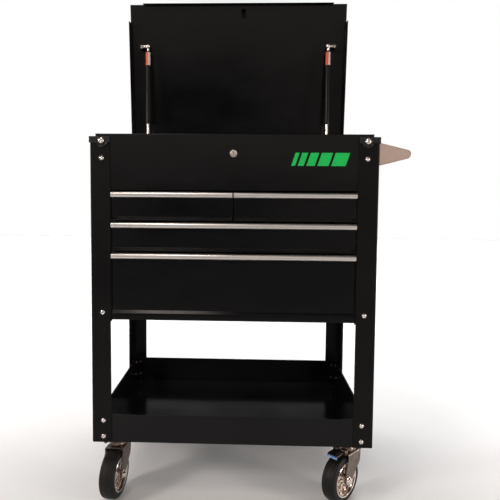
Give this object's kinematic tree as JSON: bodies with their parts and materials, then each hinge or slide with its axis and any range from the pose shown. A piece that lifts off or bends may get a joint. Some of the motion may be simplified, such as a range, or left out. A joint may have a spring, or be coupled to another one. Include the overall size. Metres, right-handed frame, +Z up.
{
  "type": "rolling tool chest",
  "caption": "Steel tool cart on swivel casters: drawers under a lidded top well, gas struts, lower tray and side push handle.",
  "frame": {"origin": "on the floor, under the middle of the bounding box", "axes": "+X to the right as seen from the drawer side, where the push handle is; +Y from the drawer fronts to the rear; +Z up"},
  "size_m": [0.8102, 0.5192, 1.4322],
  "materials": {
    "gloss_black": "gloss powder coat over folded steel",
    "powder_black": "satin powder coat with a fine texture",
    "black_plastic": "moulded black plastic",
    "strut_black": "smooth black paint",
    "aluminium": "brushed and anodised",
    "zinc": "zinc plated",
    "chrome": "bright plated",
    "handle_steel": "satin nickel plated",
    "handle_grip": "fine-ribbed sleeve over a steel tube",
    "tyre": "solid rubber"
  },
  "bodies": {
    "root": {"leg_front_left": "powder_black", "leg_front_right": "powder_black", "leg_rear_left": "powder_black", "leg_rear_right": "powder_black", "corner_cap_left": "black_plastic", "corner_cap_right": "black_plastic", "lower_tray": "gloss_black", "cabinet_side_left": "gloss_black", "cabinet_side_right": "gloss_black", "cabinet_back": "gloss_black", "cabinet_floor": "gloss_black", "well_floor": "gloss_black", "front_panel": "gloss_black", "lock_housing": "chrome", "slide_rack_left": "zinc", "slide_rack_right": "zinc", "drawer_divider": "zinc", "hinge_fixed_leaf": "zinc", "hinge_pin": "zinc", "strut_lower_stud_left": "zinc", "strut_lower_stud_right": "zinc", "handle_bracket_front": "handle_steel", "handle_bracket_rear": "handle_steel", "handle_tube": "handle_grip", "caster_plate_front_left": "zinc", "caster_plate_front_right": "zinc", "caster_plate_rear_left": "zinc", "caster_plate_rear_right": "zinc"},
    "lid": {"lid": "gloss_black", "hinge_lid_leaf": "zinc", "latch_catch": "zinc", "strut_upper_stud_left": "chrome", "strut_upper_stud_right": "chrome"},
    "lock": {"lock_plug": "chrome"},
    "strut_cylinder_left": {"strut_cylinder_left": "strut_black"},
    "strut_rod_left": {"strut_rod_left": "chrome"},
    "strut_cylinder_right": {"strut_cylinder_right": "strut_black"},
    "strut_rod_right": {"strut_rod_right": "chrome"},
    "drawer_upper_left": {"drawer_upper_left": "gloss_black", "pull_upper_left": "aluminium"},
    "drawer_upper_right": {"drawer_upper_right": "gloss_black", "pull_upper_right": "aluminium"},
    "drawer_middle": {"drawer_middle": "gloss_black", "pull_middle": "aluminium"},
    "drawer_lower": {"drawer_lower": "gloss_black", "pull_lower": "aluminium"},
    "caster_front_left": {"caster_fork_front_left": "zinc"},
    "wheel_front_left": {"tyre_front_left": "tyre", "rim_front_left": "chrome"},
    "caster_front_right": {"caster_fork_front_right": "zinc"},
    "wheel_front_right": {"tyre_front_right": "tyre", "rim_front_right": "chrome"},
    "brake_front_right": {"brake_pedal_front_right": "black_plastic"},
    "caster_rear_left": {"caster_fork_rear_left": "zinc"},
    "wheel_rear_left": {"tyre_rear_left": "tyre", "rim_rear_left": "chrome"},
    "caster_rear_right": {"caster_fork_rear_right": "zinc"},
    "wheel_rear_right": {"tyre_rear_right": "tyre", "rim_rear_right": "chrome"},
    "brake_rear_right": {"brake_pedal_rear_right": "black_plastic"}
  },
  "joints": [
    {"name": "lid_hinge", "type": "hinge", "parent": "root", "child": "lid", "pos_m": [-0.0383, 0.25165, 0.963], "axis": [1, 0, 0], "range_deg": [0, 84]},
    {"name": "strut_swing_left", "type": "hinge", "parent": "lid", "child": "strut_cylinder_left", "pos_m": [-0.3323, 0.19376, 1.29376], "axis": [1, 0, 0], "range_deg": [-9.6, 0]},
    {"name": "strut_slide_left", "type": "slide", "parent": "strut_cylinder_left", "child": "strut_rod_left", "axis": [0, 0.0049, 1], "range_m": [0, 0.146]},
    {"name": "strut_swing_right", "type": "hinge", "parent": "lid", "child": "strut_cylinder_right", "pos_m": [0.2557, 0.19376, 1.29376], "axis": [1, 0, 0], "range_deg": [-9.6, 0]},
    {"name": "strut_slide_right", "type": "slide", "parent": "strut_cylinder_right", "child": "strut_rod_right", "axis": [0, 0.0049, 1], "range_m": [0, 0.146]},
    {"name": "drawer_upper_left_slide", "type": "slide", "parent": "root", "child": "drawer_upper_left", "axis": [0, -1, 0], "range_m": [0, 0.36]},
    {"name": "drawer_upper_right_slide", "type": "slide", "parent": "root", "child": "drawer_upper_right", "axis": [0, -1, 0], "range_m": [0, 0.36]},
    {"name": "drawer_middle_slide", "type": "slide", "parent": "root", "child": "drawer_middle", "axis": [0, -1, 0], "range_m": [0, 0.36]},
    {"name": "drawer_lower_slide", "type": "slide", "parent": "root", "child": "drawer_lower", "axis": [0, -1, 0], "range_m": [0, 0.36]},
    {"name": "lock_turn", "type": "hinge", "parent": "root", "child": "lock", "pos_m": [-0.0383, -0.21035, 0.9147], "axis": [0, -1, 0], "range_deg": [0, 90]},
    {"name": "swivel_front_left", "type": "hinge", "parent": "root", "child": "caster_front_left", "pos_m": [-0.3483, -0.16535, 0.14], "axis": [0, 0, 1], "continuous": true},
    {"name": "wheel_front_left", "type": "hinge", "parent": "caster_front_left", "child": "wheel_front_left", "pos_m": [-0.35247, -0.19506, 0.0635], "axis": [0.9903, -0.1392, 0], "continuous": true},
    {"name": "swivel_front_right", "type": "hinge", "parent": "root", "child": "caster_front_right", "pos_m": [0.2717, -0.16535, 0.14], "axis": [0, 0, 1], "continuous": true},
    {"name": "wheel_front_right", "type": "hinge", "parent": "caster_front_right", "child": "wheel_front_right", "pos_m": [0.25124, -0.18729, 0.0635], "axis": [0.7314, -0.682, 0], "continuous": true},
    {"name": "brake_front_right", "type": "hinge", "parent": "caster_front_right", "child": "brake_front_right", "pos_m": [0.25056, -0.18802, 0.139], "axis": [0.7314, -0.682, 0], "range_deg": [0, 10]},
    {"name": "swivel_rear_left", "type": "hinge", "parent": "root", "child": "caster_rear_left", "pos_m": [-0.3483, 0.20465, 0.14], "axis": [0, 0, 1], "continuous": true},
    {"name": "wheel_rear_left", "type": "hinge", "parent": "caster_rear_left", "child": "wheel_rear_left", "pos_m": [-0.34104, 0.17554, 0.0635], "axis": [0.9703, 0.2419, 0], "continuous": true},
    {"name": "swivel_rear_right", "type": "hinge", "parent": "root", "child": "caster_rear_right", "pos_m": [0.2717, 0.20465, 0.14], "axis": [0, 0, 1], "continuous": true},
    {"name": "wheel_rear_right", "type": "hinge", "parent": "caster_rear_right", "child": "wheel_rear_right", "pos_m": [0.26144, 0.17646, 0.0635], "axis": [0.9397, -0.342, 0], "continuous": true},
    {"name": "brake_rear_right", "type": "hinge", "parent": "caster_rear_right", "child": "brake_rear_right", "pos_m": [0.2611, 0.17552, 0.139], "axis": [0.9397, -0.342, 0], "range_deg": [0, 10]}
  ],
  "couplings": [
    {"joint": "strut_swing_left", "follows": "lid_hinge", "ratio": -0.11145},
    {"joint": "strut_slide_left", "follows": "lid_hinge", "m_per_rad": 0.099033},
    {"joint": "strut_swing_right", "follows": "lid_hinge", "ratio": -0.11145},
    {"joint": "strut_slide_right", "follows": "lid_hinge", "m_per_rad": 0.099033}
  ]
}
